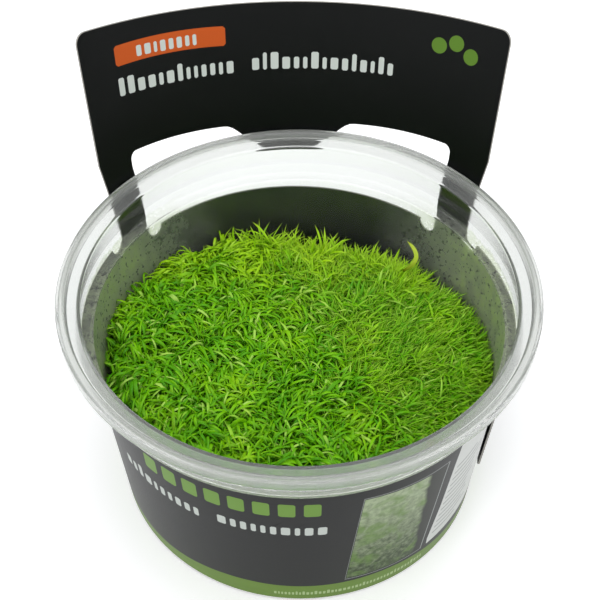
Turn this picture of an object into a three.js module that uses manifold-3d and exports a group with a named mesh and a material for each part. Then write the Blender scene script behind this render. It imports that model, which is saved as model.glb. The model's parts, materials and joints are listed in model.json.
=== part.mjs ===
// A carpet of fine, grass-like bladderwort grown in a sterile culture cup: a thin clear plastic cup with a
// wide rim, a disc of clear gel on its floor, the plants in one dense cushion that fills it from wall to
// wall, and a die-cut card sleeve whose header stands up behind the rim on two legs.
// Millimetres, +Z up. The origin is the middle of the cup's underside, and the header stands at +Y.
import * as THREE from "three";
import { mergeVertices } from "three/addons/utils/BufferGeometryUtils.js";
import Module from "manifold-3d";

// Cup: outside sizes, from the table up
const RIM_R = 50.5;
const RIM_TOP = 57.6;
const SKIRT_BOTTOM = 54.9;
const LEDGE_TOP = 56.1;
const BEAD_INNER_R = 48.2;
const MOUTH_R = 45.5;
const NECK_FOOT_R = 47.2;
const NECK_FOOT = 50;
const WALL_TOP = 46.6;
const WALL_R_AT_BASE = 40.7;
const WALL_TAPER = 0.076;
const HEEL_R = 2;
const CUP_WALL = 0.6;
const FLOOR_THICKNESS = 0.9;
const CUP_SEGMENTS = 48;

// Contents
const TOUCHING_GAP = 0.3;
const GEL_DEPTH = 13;
const CUSHION_TOP = 34.4;
const CUSHION_LUMP = 0.7;
const CUSHION_BACK_SLOPE = 0.045;
const CUSHION_EDGE_DROP = 4;
const CUSHION_SIDE_HEIGHT = 9;
const TIP_CLEARANCE = 0.5;
const WALL_GAP = 7;
const WALL_GAP_BEARING = 0.35;
const WALL_GAP_SPREAD = 0.75;
const TUFT_RINGS = 16;
const TUFT_HEIGHT = 3.6;
const TUFT_LEAN = 0.9;
const BLADE_COUNT = 48;
const BLADE_LENGTH = 7.4;
const BLADE_ROOT_DEPTH = 2.2;
const BLADE_BASE_R = 1;
const BLADE_BEND_R = 0.75;
const BLADE_SEED = 20;

// Card sleeve and header: heights over the table, and distances round the card from the header's middle
const CARD_THICKNESS = 0.4;
const SLEEVE_BOTTOM = 0.9;
const SLEEVE_TOP = 44.9;
const SIDE_TOP = 46.3;
const SIDE_FULL = 70;
const SIDE_END = 110;
const SLANT_FOOT = 36;
const LEG_FOOT = 41;
const LEG_CLEAR = 54.5;
const HEADER_R_AT_RIM = RIM_R + 0.35;
const HEADER_LEAN = 0.22;
const HEADER_FAN = 0.0011;
const HEADER_TILT = 0.015;
const HEADER_HALF_WIDTH = 50;
const HEADER_TOP = 87.8;
const HEADER_TOP_RISE = 5.4;
const HEADER_CORNER_R = 2.6;
const WINDOW_SIDE_TOP = 59;
const WINDOW_TOP = 59.8;
const WINDOW_SLOPE = 0.1;
const WINDOW_HALF_WIDTH = 39.9;
const WINDOW_SHIFT = -0.7;
const WINDOW_CORNER_R = 1.6;
const TONGUE_END = 51.9;
const TONGUE_HALF_WIDTH = 4.8;
const TONGUE_ROOT_HALF_WIDTH = 15.5;
const LEG_INNER = 37.7;
const LEG_OUTER = 46.6;
const LEG_EDGE_TOP = 64;
const NOTCH_R = 2.25;
const NOTCH_BOTTOM = 42.6;
const SIDE_NOTCH_BOTTOM = 45;
const SEAM_TAB_START = 71;
const SEAM_TAB_END = 83.6;
const SEAM_TAB_BOTTOM = 8.3;
const SEAM_TAB_CORNER_R = 3;
const SEAM_TAB_LIFT = 1.1;
const CARD_TURN_DEG = 2.3;
const CARD_SKEW = 0.012;
const SLEEVE_TOP_SLANT = 0.012;

const wasm = await Module();
wasm.setup();

// Solids and booleans

function toSolid(geometry) {
  const bare = geometry.clone();
  bare.deleteAttribute("normal");
  bare.deleteAttribute("uv");
  const merged = mergeVertices(bare, 1e-4);
  const mesh = new wasm.Mesh({
    numProp: 3,
    vertProperties: new Float32Array(merged.attributes.position.array),
    triVerts: new Uint32Array(merged.index.array),
  });
  return new wasm.Manifold(mesh);
}

function toGeometry(solid) {
  const mesh = solid.getMesh();
  const geometry = new THREE.BufferGeometry();
  const places = new Float32Array(mesh.vertProperties);
  geometry.setAttribute("position", new THREE.BufferAttribute(places, 3));
  geometry.setIndex(new THREE.BufferAttribute(new Uint32Array(mesh.triVerts), 1));
  geometry.computeVertexNormals();
  return geometry;
}

function indexedGeometry(points, triangles) {
  const geometry = new THREE.BufferGeometry();
  geometry.setAttribute("position", new THREE.Float32BufferAttribute(points.flat(), 3));
  geometry.setIndex(triangles.flat());
  return geometry;
}

const smooth = (low, high, value) => THREE.MathUtils.smoothstep(value, low, high);
const mix = (a, b, share) => a + (b - a) * share;

// The same small sequence of random numbers each time
function randomFrom(seed) {
  let state = seed;
  return () => {
    state = (state * 1664525 + 1013904223) % 4294967296;
    return state / 4294967296;
  };
}

// Cup

const outerWallR = (z) => WALL_R_AT_BASE + WALL_TAPER * z;
const innerWallR = (z) => outerWallR(z) - CUP_WALL;

function cupGeometry() {
  const rimInnerR = RIM_R - CUP_WALL;
  const beadUnderside = RIM_TOP - CUP_WALL;
  const ledgeUnderside = LEDGE_TOP - CUP_WALL;
  const outside = [
    [0, 0],
    [outerWallR(0) - HEEL_R, 0],
    [outerWallR(0) - 0.3 * HEEL_R, 0.3 * HEEL_R],
    [outerWallR(HEEL_R), HEEL_R],
    [outerWallR(WALL_TOP), WALL_TOP],
    [NECK_FOOT_R - 1.1, WALL_TOP + 0.7],
    [NECK_FOOT_R - 0.3, WALL_TOP + 1.6],
    [NECK_FOOT_R, NECK_FOOT],
    [MOUTH_R + CUP_WALL, ledgeUnderside],
    [BEAD_INNER_R + 0.3, ledgeUnderside],
    [BEAD_INNER_R + 0.7, beadUnderside],
    [rimInnerR - 0.2, beadUnderside],
    [rimInnerR, beadUnderside - 0.3],
    [rimInnerR, SKIRT_BOTTOM],
    [RIM_R, SKIRT_BOTTOM],
    [RIM_R, RIM_TOP - 0.5],
    [RIM_R - 0.5, RIM_TOP],
    [BEAD_INNER_R + 0.7, RIM_TOP],
    [BEAD_INNER_R, LEDGE_TOP],
    [MOUTH_R + 0.3, LEDGE_TOP],
    [MOUTH_R, LEDGE_TOP - 0.3],
  ];
  const inside = [
    [NECK_FOOT_R - CUP_WALL, NECK_FOOT],
    [NECK_FOOT_R - CUP_WALL - 0.5, WALL_TOP + 1.6],
    [innerWallR(WALL_TOP) + 0.7, WALL_TOP + 0.7],
    [innerWallR(WALL_TOP), WALL_TOP],
    [innerWallR(HEEL_R), HEEL_R],
    [innerWallR(0) - 1, FLOOR_THICKNESS],
    [0, FLOOR_THICKNESS],
  ];
  const profile = [...outside, ...inside].map(([r, z]) => new THREE.Vector2(r, z));
  // LatheGeometry turns its profile round Y, so the cup is then stood up on Z.
  return new THREE.LatheGeometry(profile, CUP_SEGMENTS).rotateX(Math.PI / 2);
}

// Gel: a flat disc that was poured hot and set on the cup's floor

const gelBottom = FLOOR_THICKNESS + TOUCHING_GAP;
const gelTop = gelBottom + GEL_DEPTH;

function gelGeometry() {
  const edgeR = (z) => innerWallR(z) - TOUCHING_GAP;
  const profile = [
    [0, gelBottom],
    [edgeR(0) - 1.2, gelBottom],
    [edgeR(HEEL_R + 0.6), HEEL_R + 0.6],
    [edgeR(gelTop), gelTop],
    [0, gelTop],
  ].map(([r, z]) => new THREE.Vector2(r, z));
  return new THREE.LatheGeometry(profile, CUP_SEGMENTS).rotateX(Math.PI / 2);
}

// Plant carpet: runners and roots packed into one cushion, with the blades that stand out of it

const carpetBottom = gelTop + TOUCHING_GAP;

// How far the blade tips reach from the axis. Bearings run from +Y, clockwise seen from above: the carpet
// touches the wall all round, except behind and on its right, where the wall shows a dark gap.
function tipReach(bearing) {
  const gap = WALL_GAP * Math.exp(-(((bearing - WALL_GAP_BEARING) / WALL_GAP_SPREAD) ** 2));
  return innerWallR(CUSHION_TOP) - TIP_CLEARANCE - gap;
}

// Low, rounded lumps, and a top that falls away a little to the back and the right
function cushionTop(x, y) {
  const lump = Math.sin(0.31 * x + 1.2) * Math.cos(0.27 * y) + 0.6 * Math.sin(0.52 * y - 0.4 * x);
  return CUSHION_TOP + CUSHION_LUMP * lump - CUSHION_BACK_SLOPE * (y + 0.6 * x);
}

function wrapBearing(angle) {
  return Math.atan2(Math.sin(angle), Math.cos(angle));
}

// The places of the cushion's top: rings with six more places in each than in the last. Every third place,
// so that no two are neighbours, is drawn up and leaned over into the tip of a tuft.
function cushionTopPoints() {
  const random = randomFrom(BLADE_SEED + 1);
  const points = [];
  for (let ring = 0; ring <= TUFT_RINGS; ring++) {
    const count = Math.max(1, 6 * ring);
    for (let i = 0; i < count; i++) {
      const bearing = wrapBearing((i / count) * 2 * Math.PI);
      const share = ring / TUFT_RINGS;
      const r = share * (tipReach(bearing) - TIP_CLEARANCE);
      let x = r * Math.sin(bearing);
      let y = r * Math.cos(bearing);
      let z = cushionTop(x, y) - CUSHION_EDGE_DROP * smooth(0.9, 1, share);
      const isTip = ring === 0 || (ring + (i % ring)) % 3 === 0;
      if (isTip && ring < TUFT_RINGS) {
        const lean = 2 * Math.PI * random();
        x += TUFT_LEAN * Math.sin(lean);
        y += TUFT_LEAN * Math.cos(lean);
        z += TUFT_HEIGHT * (0.6 + 0.7 * random());
      }
      points.push([x, y, z]);
    }
  }
  return points;
}

// The cushion closes below its top with two rows at the wall and a flat bottom just over the gel.
function cushionSolid() {
  const points = cushionTopPoints();
  const triangles = [];
  const place = (ring, i) => (ring === 0 ? 0 : 1 + 3 * ring * (ring - 1) + (i % (6 * ring)));
  for (let ring = 1; ring <= TUFT_RINGS; ring++) {
    for (let sector = 0; sector < 6; sector++) {
      for (let step = 0; step < ring; step++) {
        const outer = sector * ring + step;
        const inner = sector * (ring - 1) + step;
        triangles.push([place(ring, outer), place(ring - 1, inner), place(ring, outer + 1)]);
        if (step < ring - 1) {
          triangles.push([place(ring - 1, inner), place(ring - 1, inner + 1), place(ring, outer + 1)]);
        }
      }
    }
  }
  const edgeCount = 6 * TUFT_RINGS;
  for (const z of [carpetBottom + CUSHION_SIDE_HEIGHT, carpetBottom]) {
    const wallR = innerWallR(z) - TIP_CLEARANCE;
    for (let i = 0; i < edgeCount; i++) {
      const bearing = (i / edgeCount) * 2 * Math.PI;
      points.push([wallR * Math.sin(bearing), wallR * Math.cos(bearing), z]);
    }
  }
  const bottomRow = points.length - edgeCount;
  const walls = [bottomRow - 2 * edgeCount, bottomRow - edgeCount, bottomRow];
  for (let row = 0; row < 2; row++) {
    for (let i = 0; i < edgeCount; i++) {
      const next = (i + 1) % edgeCount;
      const [upper, lower] = [walls[row], walls[row + 1]];
      triangles.push([upper + i, upper + next, lower + next], [upper + i, lower + next, lower + i]);
    }
  }
  points.push([0, 0, carpetBottom]);
  for (let i = 0; i < edgeCount; i++) {
    triangles.push([points.length - 1, bottomRow + i, bottomRow + ((i + 1) % edgeCount)]);
  }
  return toSolid(indexedGeometry(points, triangles));
}

// One blade: a three-sided spike that starts inside the cushion, bends once and ends in a point
function bladeSolid(root, middle, tip) {
  const along = new THREE.Vector3().subVectors(middle, root).normalize();
  const across = new THREE.Vector3(-along.y, along.x, 0.01).normalize();
  const back = new THREE.Vector3().crossVectors(along, across);
  const points = [];
  for (const [centre, r] of [
    [root, BLADE_BASE_R],
    [middle, BLADE_BEND_R],
  ]) {
    for (let corner = 0; corner < 3; corner++) {
      const angle = (corner / 3) * 2 * Math.PI;
      const place = centre.clone();
      place.addScaledVector(across, r * Math.cos(angle));
      place.addScaledVector(back, r * Math.sin(angle));
      points.push(place.toArray());
    }
  }
  points.push(tip.toArray());
  const triangles = [[0, 2, 1]];
  for (let corner = 0; corner < 3; corner++) {
    const next = (corner + 1) % 3;
    triangles.push([corner, next, 3 + next], [corner, 3 + next, 3 + corner], [3 + corner, 3 + next, 6]);
  }
  return toSolid(indexedGeometry(points, triangles));
}

// The blades are spread evenly by the golden angle. Each rises steeply to its bend and then leans over, and
// one that would meet the wall is bent back inside it.
function bladeSolids() {
  const random = randomFrom(BLADE_SEED);
  const goldenAngle = Math.PI * (3 - Math.sqrt(5));
  const blades = [];
  for (let i = 0; i < BLADE_COUNT; i++) {
    const bearing = wrapBearing(i * goldenAngle + 0.4 * (random() - 0.5));
    const reach = tipReach(bearing);
    const r = Math.sqrt((i + 0.5) / BLADE_COUNT) * (reach - 2 * BLADE_BASE_R);
    const lean = bearing + 2.4 * (random() - 0.5);
    const length = BLADE_LENGTH * (0.75 + 0.5 * random());
    const out = new THREE.Vector3(Math.sin(lean), Math.cos(lean), 0);
    const root = new THREE.Vector3(r * Math.sin(bearing), r * Math.cos(bearing), 0);
    const edgeDrop = 0.4 * CUSHION_EDGE_DROP * smooth(0.9, 1, r / reach);
    root.z = cushionTop(root.x, root.y) - BLADE_ROOT_DEPTH - edgeDrop;
    const middle = root.clone().addScaledVector(out, 0.25 * length);
    middle.z += 0.62 * length;
    const tip = middle.clone().addScaledVector(out, 0.5 * length);
    tip.z += 0.18 * length;
    for (const place of [middle, tip]) {
      const share = (reach - BLADE_BASE_R) / Math.hypot(place.x, place.y);
      if (share < 1) {
        place.x *= share;
        place.y *= share;
      }
    }
    blades.push(bladeSolid(root, middle, tip));
  }
  return blades;
}

// Card: cut flat, printed on both sides and wrapped round the cup

const cardInnerR = (z) => WALL_R_AT_BASE + TOUCHING_GAP + WALL_TAPER * z;
const legFootR = cardInnerR(LEG_FOOT);
const halfRound = Math.PI * legFootR;
const headerReach = HEADER_HALF_WIDTH + 3;

// Across the header a distance s is an arc of the header's own radius. The rest of the way round to the
// front is shared out evenly, so that the card always closes there.
function cardAngle(s, r) {
  const round = s > halfRound ? s - 2 * halfRound : s;
  const distance = Math.abs(round);
  const rest = Math.max(0, distance - headerReach) / (halfRound - headerReach);
  return Math.sign(round) * mix(Math.min(distance, headerReach) / r, Math.PI, rest);
}

// The shorter way round from the header's middle to a distance s
const distanceRound = (s) => Math.min(Math.abs(s), 2 * halfRound - Math.abs(s));

// Beside the legs the sleeve reaches up under the cup's neck and spreads with them. This share of that
// fades out towards the front.
const besideLegs = (distance) => 1 - smooth(SIDE_FULL, SIDE_END, distance);

const sideTop = (s) => mix(SLEEVE_TOP, SIDE_TOP, besideLegs(distanceRound(s)));

// Where the card is at a distance s round it and a height z, and by how much outwards. The sleeve follows
// the cup's taper, the legs bend out past the rim, and the header leans back and fans out as it rises. It
// also stands a little askew on its legs, and the sleeve's top slants a little more than its foot.
function cardPoint(s, z, outward) {
  const aboveRim = Math.max(0, z - RIM_TOP);
  const bend = smooth(LEG_FOOT, LEG_CLEAR, z);
  const headerR = mix(legFootR, HEADER_R_AT_RIM, bend) + HEADER_LEAN * aboveRim;
  const distance = distanceRound(s);
  const onLeg = smooth(LEG_INNER - NOTCH_R, LEG_INNER, distance) * besideLegs(distance);
  const onHeader = z <= LEG_FOOT ? 0 : Math.max(onLeg, smooth(SLEEVE_TOP + 0.8, TONGUE_END - 0.6, z));
  const r = mix(cardInnerR(z), headerR, onHeader);
  const tilted = s + HEADER_TILT * Math.max(0, z - LEG_FOOT);
  const angle = cardAngle(tilted, mix(legFootR, headerR, onHeader) / (1 + HEADER_FAN * aboveRim));
  const x = (r + outward) * Math.sin(angle);
  const y = (r + outward) * Math.cos(angle);
  const slant = SLEEVE_TOP_SLANT * smooth(SLANT_FOOT, LEG_FOOT, z) * (1 - bend);
  return [x, y, z - (CARD_SKEW + slant) * x];
}

// The distances at which a plate gets a column: each stretch is [from, to, longest step]
function columnsAt(...stretches) {
  const places = [stretches[0][0]];
  for (const [from, to, step] of stretches) {
    const count = Math.ceil((to - from) / step);
    for (let i = 1; i <= count; i++) places.push(mix(from, to, i / count));
  }
  return places;
}

// The same stretches on the left of the middle
const turnedRound = (stretches) => stretches.map(([from, to, step]) => [-to, -from, step]).reverse();

// A curved plate between two lines low(s) and high(s), with rows at the given shares of its height and its
// inner and outer faces at given offsets
function plate({ places, low, high, levels, inner, outer, closed = false }) {
  const columns = places.length - 1;
  const count = closed ? columns : columns + 1;
  const rows = levels.length;
  const points = [];
  for (const s of places.slice(0, count)) {
    for (const share of levels) {
      const z = mix(low(s), high(s), share);
      points.push(cardPoint(s, z, inner(s, z)), cardPoint(s, z, outer(s, z)));
    }
  }
  const at = (column, row, side) => 2 * ((column % count) * rows + row) + side;
  const triangles = [];
  const quad = (a, b, c, d) => triangles.push([a, b, c], [a, c, d]);
  for (let i = 0; i < columns; i++) {
    for (let row = 0; row < rows - 1; row++) {
      quad(at(i, row, 1), at(i, row + 1, 1), at(i + 1, row + 1, 1), at(i + 1, row, 1));
      quad(at(i, row, 0), at(i + 1, row, 0), at(i + 1, row + 1, 0), at(i, row + 1, 0));
    }
    quad(at(i, 0, 0), at(i, 0, 1), at(i + 1, 0, 1), at(i + 1, 0, 0));
    quad(at(i, rows - 1, 0), at(i + 1, rows - 1, 0), at(i + 1, rows - 1, 1), at(i, rows - 1, 1));
  }
  if (!closed) {
    for (let row = 0; row < rows - 1; row++) {
      quad(at(0, row, 0), at(0, row + 1, 0), at(0, row + 1, 1), at(0, row, 1));
      quad(at(columns, row, 0), at(columns, row, 1), at(columns, row + 1, 1), at(columns, row + 1, 0));
    }
  }
  return toSolid(indexedGeometry(points, triangles));
}

const evenLevels = (count) => Array.from({ length: count + 1 }, (_, i) => i / count);

// A tool for cutting the card: the same kind of plate, but thick enough to pass through it
function cutter(places, rows, low, high) {
  const levels = evenLevels(rows);
  const reach = 2.5;
  return plate({ places, low, high, levels, inner: () => -reach, outer: () => CARD_THICKNESS + reach });
}

// A round-ended notch dips below an edge of the card, here as the edge's height at a distance s.
function notchEdge(s, middle, bottom, edge) {
  const away = Math.min(NOTCH_R, Math.abs(s - middle));
  return away < NOTCH_R ? Math.min(edge, bottom + NOTCH_R - Math.sqrt(NOTCH_R ** 2 - away ** 2)) : edge;
}

// How far a rounded corner pulls an edge back, where the edge ends at the distance end
function cornerDrop(distance, end, r) {
  const into = THREE.MathUtils.clamp(distance - (end - r), 0, r);
  return r - Math.sqrt(r * r - into * into);
}

const legSlope = (LEG_EDGE_TOP - SIDE_TOP) / (HEADER_HALF_WIDTH - LEG_OUTER);

function windowLow(s) {
  const distance = Math.abs(s - WINDOW_SHIFT);
  if (distance <= LEG_INNER) return notchEdge(distance, LEG_INNER - NOTCH_R, NOTCH_BOTTOM, SLEEVE_TOP);
  return mix(SLEEVE_TOP, WINDOW_SIDE_TOP, (distance - LEG_INNER) / (WINDOW_HALF_WIDTH - LEG_INNER));
}

function windowHigh(s) {
  const distance = Math.abs(s - WINDOW_SHIFT);
  const rise = smooth(TONGUE_HALF_WIDTH, TONGUE_ROOT_HALF_WIDTH, distance);
  const slope = WINDOW_SLOPE * Math.max(0, distance - TONGUE_ROOT_HALF_WIDTH);
  const corner = cornerDrop(distance, WINDOW_HALF_WIDTH, WINDOW_CORNER_R);
  return Math.max(mix(TONGUE_END, WINDOW_TOP, rise) + slope - corner, windowLow(s) + 0.01);
}

function headerTop(s) {
  const distance = Math.abs(s);
  const rise = HEADER_TOP_RISE * (distance / HEADER_HALF_WIDTH) ** 2;
  return HEADER_TOP + rise - cornerDrop(distance, HEADER_HALF_WIDTH, HEADER_CORNER_R);
}

function cardSolid() {
  const blankTop = HEADER_TOP + HEADER_TOP_RISE + 2;
  const above = blankTop + 1;
  const heights = [SLEEVE_BOTTOM, SLANT_FOOT, LEG_FOOT, 44, 47.4, 51, LEG_CLEAR, RIM_TOP, 73, blankTop];
  const levels = heights.map((z) => (z - SLEEVE_BOTTOM) / (blankTop - SLEEVE_BOTTOM));
  const rightBlank = [
    [LEG_INNER, LEG_OUTER + NOTCH_R, 4.4],
    [LEG_OUTER + NOTCH_R, headerReach, 4.4],
    [headerReach, halfRound, 5.8],
  ];
  const blank = plate({
    places: columnsAt(...turnedRound(rightBlank), [-LEG_INNER, LEG_INNER, 4.4], ...rightBlank),
    low: () => SLEEVE_BOTTOM,
    high: () => blankTop,
    levels,
    inner: () => 0,
    outer: () => CARD_THICKNESS,
    closed: true,
  });
  const half = HEADER_HALF_WIDTH;
  const corner = HEADER_CORNER_R;
  const topCorner = [
    [half - corner, half, 0.65],
    [half, half + 1, 1],
  ];
  const topPlaces = columnsAt(...turnedRound(topCorner), [corner - half, half - corner, 6], ...topCorner);
  const top = cutter(topPlaces, 1, headerTop, () => above);

  const notchStart = LEG_INNER - 2 * NOTCH_R;
  const windowEnd = WINDOW_HALF_WIDTH;
  const rightHalf = [
    [TONGUE_HALF_WIDTH, TONGUE_ROOT_HALF_WIDTH, 2.6],
    [TONGUE_ROOT_HALF_WIDTH, notchStart, 8],
    [notchStart, LEG_INNER, 0.9],
    [LEG_INNER, windowEnd - WINDOW_CORNER_R, 2],
    [windowEnd - WINDOW_CORNER_R, windowEnd, 0.55],
  ];
  const tongue = [-TONGUE_HALF_WIDTH, TONGUE_HALF_WIDTH, 5];
  const windowPlaces = columnsAt(...turnedRound(rightHalf), tongue, ...rightHalf);
  const shiftedPlaces = windowPlaces.map((s) => s + WINDOW_SHIFT);
  const window = cutter(shiftedPlaces, 8, windowLow, windowHigh);

  const notchMiddle = LEG_OUTER + NOTCH_R;
  const outerNotch = (s) => notchEdge(distanceRound(s), notchMiddle, SIDE_NOTCH_BOTTOM, sideTop(s));
  const legEdge = (s) => SIDE_TOP + legSlope * (Math.abs(s) - LEG_OUTER);
  const sideStart = LEG_OUTER + 0.01;
  const sideEnd = half + 0.6;
  const rightSide = cutter(columnsAt([sideStart, sideEnd, 0.9]), 8, outerNotch, legEdge);
  const leftSide = cutter(columnsAt([-sideEnd, -sideStart, 0.9]), 8, outerNotch, legEdge);
  const notchEnd = LEG_OUTER + 2 * NOTCH_R;
  const wholeRound = 2 * halfRound;
  const frontPlaces = columnsAt(
    [half, notchEnd, 0.5],
    [notchEnd, wholeRound - notchEnd, 7],
    [wholeRound - notchEnd, wholeRound - half, 0.5],
  );
  const front = cutter(frontPlaces, 12, outerNotch, () => above);
  const cut = blank.subtract(top).subtract(window).subtract(rightSide).subtract(leftSide).subtract(front);
  return cut.add(seamTab());
}

// The sleeve's outer end overlaps the card and stands off it a little, more at the top than at the bottom.
function seamTab() {
  const lift = (s, z) => {
    const share = (s - SEAM_TAB_START) / (SEAM_TAB_END - SEAM_TAB_START);
    return SEAM_TAB_LIFT * share ** 2 * mix(0.4, 1, z / SLEEVE_TOP) + 0.2 * Math.min(1, share * 4);
  };
  const cornerStart = SEAM_TAB_END - SEAM_TAB_CORNER_R;
  return plate({
    places: columnsAt([SEAM_TAB_START, cornerStart, 2.4], [cornerStart, SEAM_TAB_END, 0.8]),
    low: (s) => SEAM_TAB_BOTTOM + cornerDrop(s, SEAM_TAB_END, SEAM_TAB_CORNER_R),
    high: (s) => sideTop(s) - 0.2,
    levels: evenLevels(1),
    inner: (s, z) => 0.5 * CARD_THICKNESS + lift(s, z),
    outer: (s, z) => 1.4 * CARD_THICKNESS + lift(s, z),
  });
}

// Assembly

function piece(name, geometry, colour, roughness, options = {}) {
  const material = new THREE.MeshStandardMaterial({ color: colour, roughness, metalness: 0, ...options });
  const mesh = new THREE.Mesh(geometry, material);
  mesh.name = name;
  return mesh;
}

const clear = { transparent: true, opacity: 0.3 };
const cup = piece("cup", cupGeometry(), 0xeef1ee, 0.12, clear);
const gel = piece("culture_gel", gelGeometry(), 0xe6e3cf, 0.3, { transparent: true, opacity: 0.6 });
const carpetSolid = wasm.Manifold.union([cushionSolid(), ...bladeSolids()]);
const carpet = piece("plant_carpet", toGeometry(carpetSolid), 0x5f9a14, 0.6);
const card = piece("card_sleeve", toGeometry(cardSolid()), 0x1c1f20, 0.45);
card.rotation.z = THREE.MathUtils.degToRad(CARD_TURN_DEG);

const culture = new THREE.Group();
culture.add(gel, carpet);
const cultureCup = new THREE.Group();
cultureCup.add(cup, culture, card);

export default cultureCup;
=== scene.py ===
import json
import math
import random

import bmesh
import bpy
import numpy as np
from mathutils import Matrix, Vector, noise

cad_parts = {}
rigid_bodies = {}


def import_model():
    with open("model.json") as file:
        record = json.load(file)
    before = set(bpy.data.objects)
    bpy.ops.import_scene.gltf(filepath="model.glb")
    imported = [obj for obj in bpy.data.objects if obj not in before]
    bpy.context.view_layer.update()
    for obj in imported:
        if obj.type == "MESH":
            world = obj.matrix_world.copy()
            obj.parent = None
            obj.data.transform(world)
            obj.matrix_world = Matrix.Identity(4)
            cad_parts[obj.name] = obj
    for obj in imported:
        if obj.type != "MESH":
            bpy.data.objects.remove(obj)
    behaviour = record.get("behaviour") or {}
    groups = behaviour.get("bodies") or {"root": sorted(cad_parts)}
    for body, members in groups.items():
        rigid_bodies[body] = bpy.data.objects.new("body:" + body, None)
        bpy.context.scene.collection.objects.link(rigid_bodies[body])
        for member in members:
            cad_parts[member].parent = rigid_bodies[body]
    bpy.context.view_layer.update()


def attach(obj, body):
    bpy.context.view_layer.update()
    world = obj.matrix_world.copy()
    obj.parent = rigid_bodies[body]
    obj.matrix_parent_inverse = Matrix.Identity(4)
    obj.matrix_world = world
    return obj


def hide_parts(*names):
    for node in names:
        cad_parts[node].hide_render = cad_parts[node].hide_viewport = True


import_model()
MM = 0.001

# Camera
# It looks down into the open cup from the front. Its place, tilt and lens were fitted to the cup's rim, ledge
# and neck.
CAMERA_PLACE = (0.17 * MM, -176.6 * MM, 239.1 * MM)
CAMERA_DOWN_DEG = 46.65
CAMERA_LENS = 73.0
SENSOR_WIDTH = 36.0

camera_data = bpy.data.cameras.new("camera")
camera_data.lens = CAMERA_LENS
camera_data.sensor_width = SENSOR_WIDTH
camera = bpy.data.objects.new("camera", camera_data)
camera.location = CAMERA_PLACE
camera.rotation_euler = (math.radians(90 - CAMERA_DOWN_DEG), 0, 0)
bpy.context.scene.collection.objects.link(camera)
bpy.context.scene.camera = camera

# Cup
# A thin clear polypropylene cup, injection moulded in one shot: a tapered wall, a flat shoulder out to a
# wider neck, a ledge inside it for the lid and a flat rim with a turned-down skirt. Warm moist air fogs it.
CUP_STEPS = 256
FILLET_STEPS = 4
FILLET_REACH = 0.48
MERGE_GAP = 0.002
SHARP_ANGLE = math.radians(40)
WALL_R_AT_BASE = 40.7
WALL_TAPER = 0.076
CUP_WALL = 0.6
CUP_FLOOR = 0.9
HEEL_FILLET = 2
SHOULDER_BOTTOM = 47.1
SHOULDER_TOP = SHOULDER_BOTTOM + CUP_WALL
NECK_FOOT = 50
NECK_FOOT_R = 47.2
NECK_FLARE = 0.3
MOUTH_R = 45.5
LEDGE_TOP = 56.1
BEAD_INNER_R = 48.2
BEAD_SLOPE = 0.7
RIM_R = 50.5
RIM_TOP = 57.6
SKIRT_BOTTOM = 54.9
FOG_TOP = 48.8
FOG_FULL = 48.0
FOG_RAGGED = 4
FOG_PATCHES_PER_M = 220
FOG_DROPS_PER_M = 1100
# Below the plants' tips and at the back the fog is thinned as painted shade; on the shoulder a thinner fog
# stays as painted green light.
PLANT_SHADE_FOG_BOTTOM = 28
PLANT_SHADE_FOG_TOP = 34
SHOULDER_GLOW_FOG_BOTTOM = 47.2
SHOULDER_GLOW_FOG_TOP = 47.6
BACK_SHADE_FOG_START = 20
BACK_SHADE_FOG_END = 39
RIM_HAZE_BOTTOM = 55
RIM_HAZE_TOP = 56.8


def outer_wall_r(z):
    """The tapered wall's outer radius at a height."""
    return WALL_R_AT_BASE + WALL_TAPER * z


def inner_wall_r(z):
    """The tapered wall's inner radius at a height."""
    return outer_wall_r(z) - CUP_WALL


def rounded(corners):
    """Points through the corners (r, z, fillet), with each corner rounded by its fillet."""
    points = []
    for i, (r, z, fillet) in enumerate(corners):
        corner = Vector((r, 0, z))
        if not fillet:
            points.append(corner)
            continue
        before = Vector((corners[i - 1][0], 0, corners[i - 1][1])) - corner
        after = Vector((corners[i + 1][0], 0, corners[i + 1][1])) - corner
        half_angle = before.angle(after) / 2
        longest = FILLET_REACH * min(before.length, after.length)
        reach = min(fillet / math.tan(half_angle), longest)
        start = corner + reach * before.normalized()
        end = corner + reach * after.normalized()
        for step in range(FILLET_STEPS + 1):
            t = step / FILLET_STEPS
            points.append((1 - t) ** 2 * start + 2 * t * (1 - t) * corner + t ** 2 * end)
    return points


def turned(points, steps):
    """A closed mesh made by spinning a profile that starts and ends on the axis."""
    bm = bmesh.new()
    verts = [bm.verts.new(p * MM) for p in points]
    edges = [bm.edges.new(pair) for pair in zip(verts, verts[1:])]
    bmesh.ops.spin(
        bm,
        geom=verts + edges,
        cent=(0, 0, 0),
        axis=(0, 0, 1),
        dvec=(0, 0, 0),
        angle=2 * math.pi,
        steps=steps,
        use_merge=True,
    )
    bmesh.ops.remove_doubles(bm, verts=bm.verts, dist=MERGE_GAP * MM)
    bmesh.ops.recalc_face_normals(bm, faces=bm.faces)
    return bm


def new_piece(name, bm, *materials):
    """An object at the origin that holds the mesh, shaded smooth but for its sharp edges."""
    mesh = bpy.data.meshes.new(name)
    bm.to_mesh(mesh)
    bm.free()
    mesh.shade_smooth()
    mesh.set_sharp_from_angle(angle=SHARP_ANGLE)
    for material in materials:
        mesh.materials.append(material)
    piece = bpy.data.objects.new(name, mesh)
    bpy.context.scene.collection.objects.link(piece)
    return piece


def linear(hex_colour):
    """A linear colour from an sRGB hex value."""
    values = [int(hex_colour[i : i + 2], 16) / 255 for i in (1, 3, 5)]
    return [v / 12.92 if v <= 0.04045 else ((v + 0.055) / 1.055) ** 2.4 for v in values] + [1.0]


def new_material(name):
    """A material with its node tree and its Principled shader."""
    material = bpy.data.materials.new(name)
    material.use_nodes = True
    return material, material.node_tree, material.node_tree.nodes["Principled BSDF"]


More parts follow.
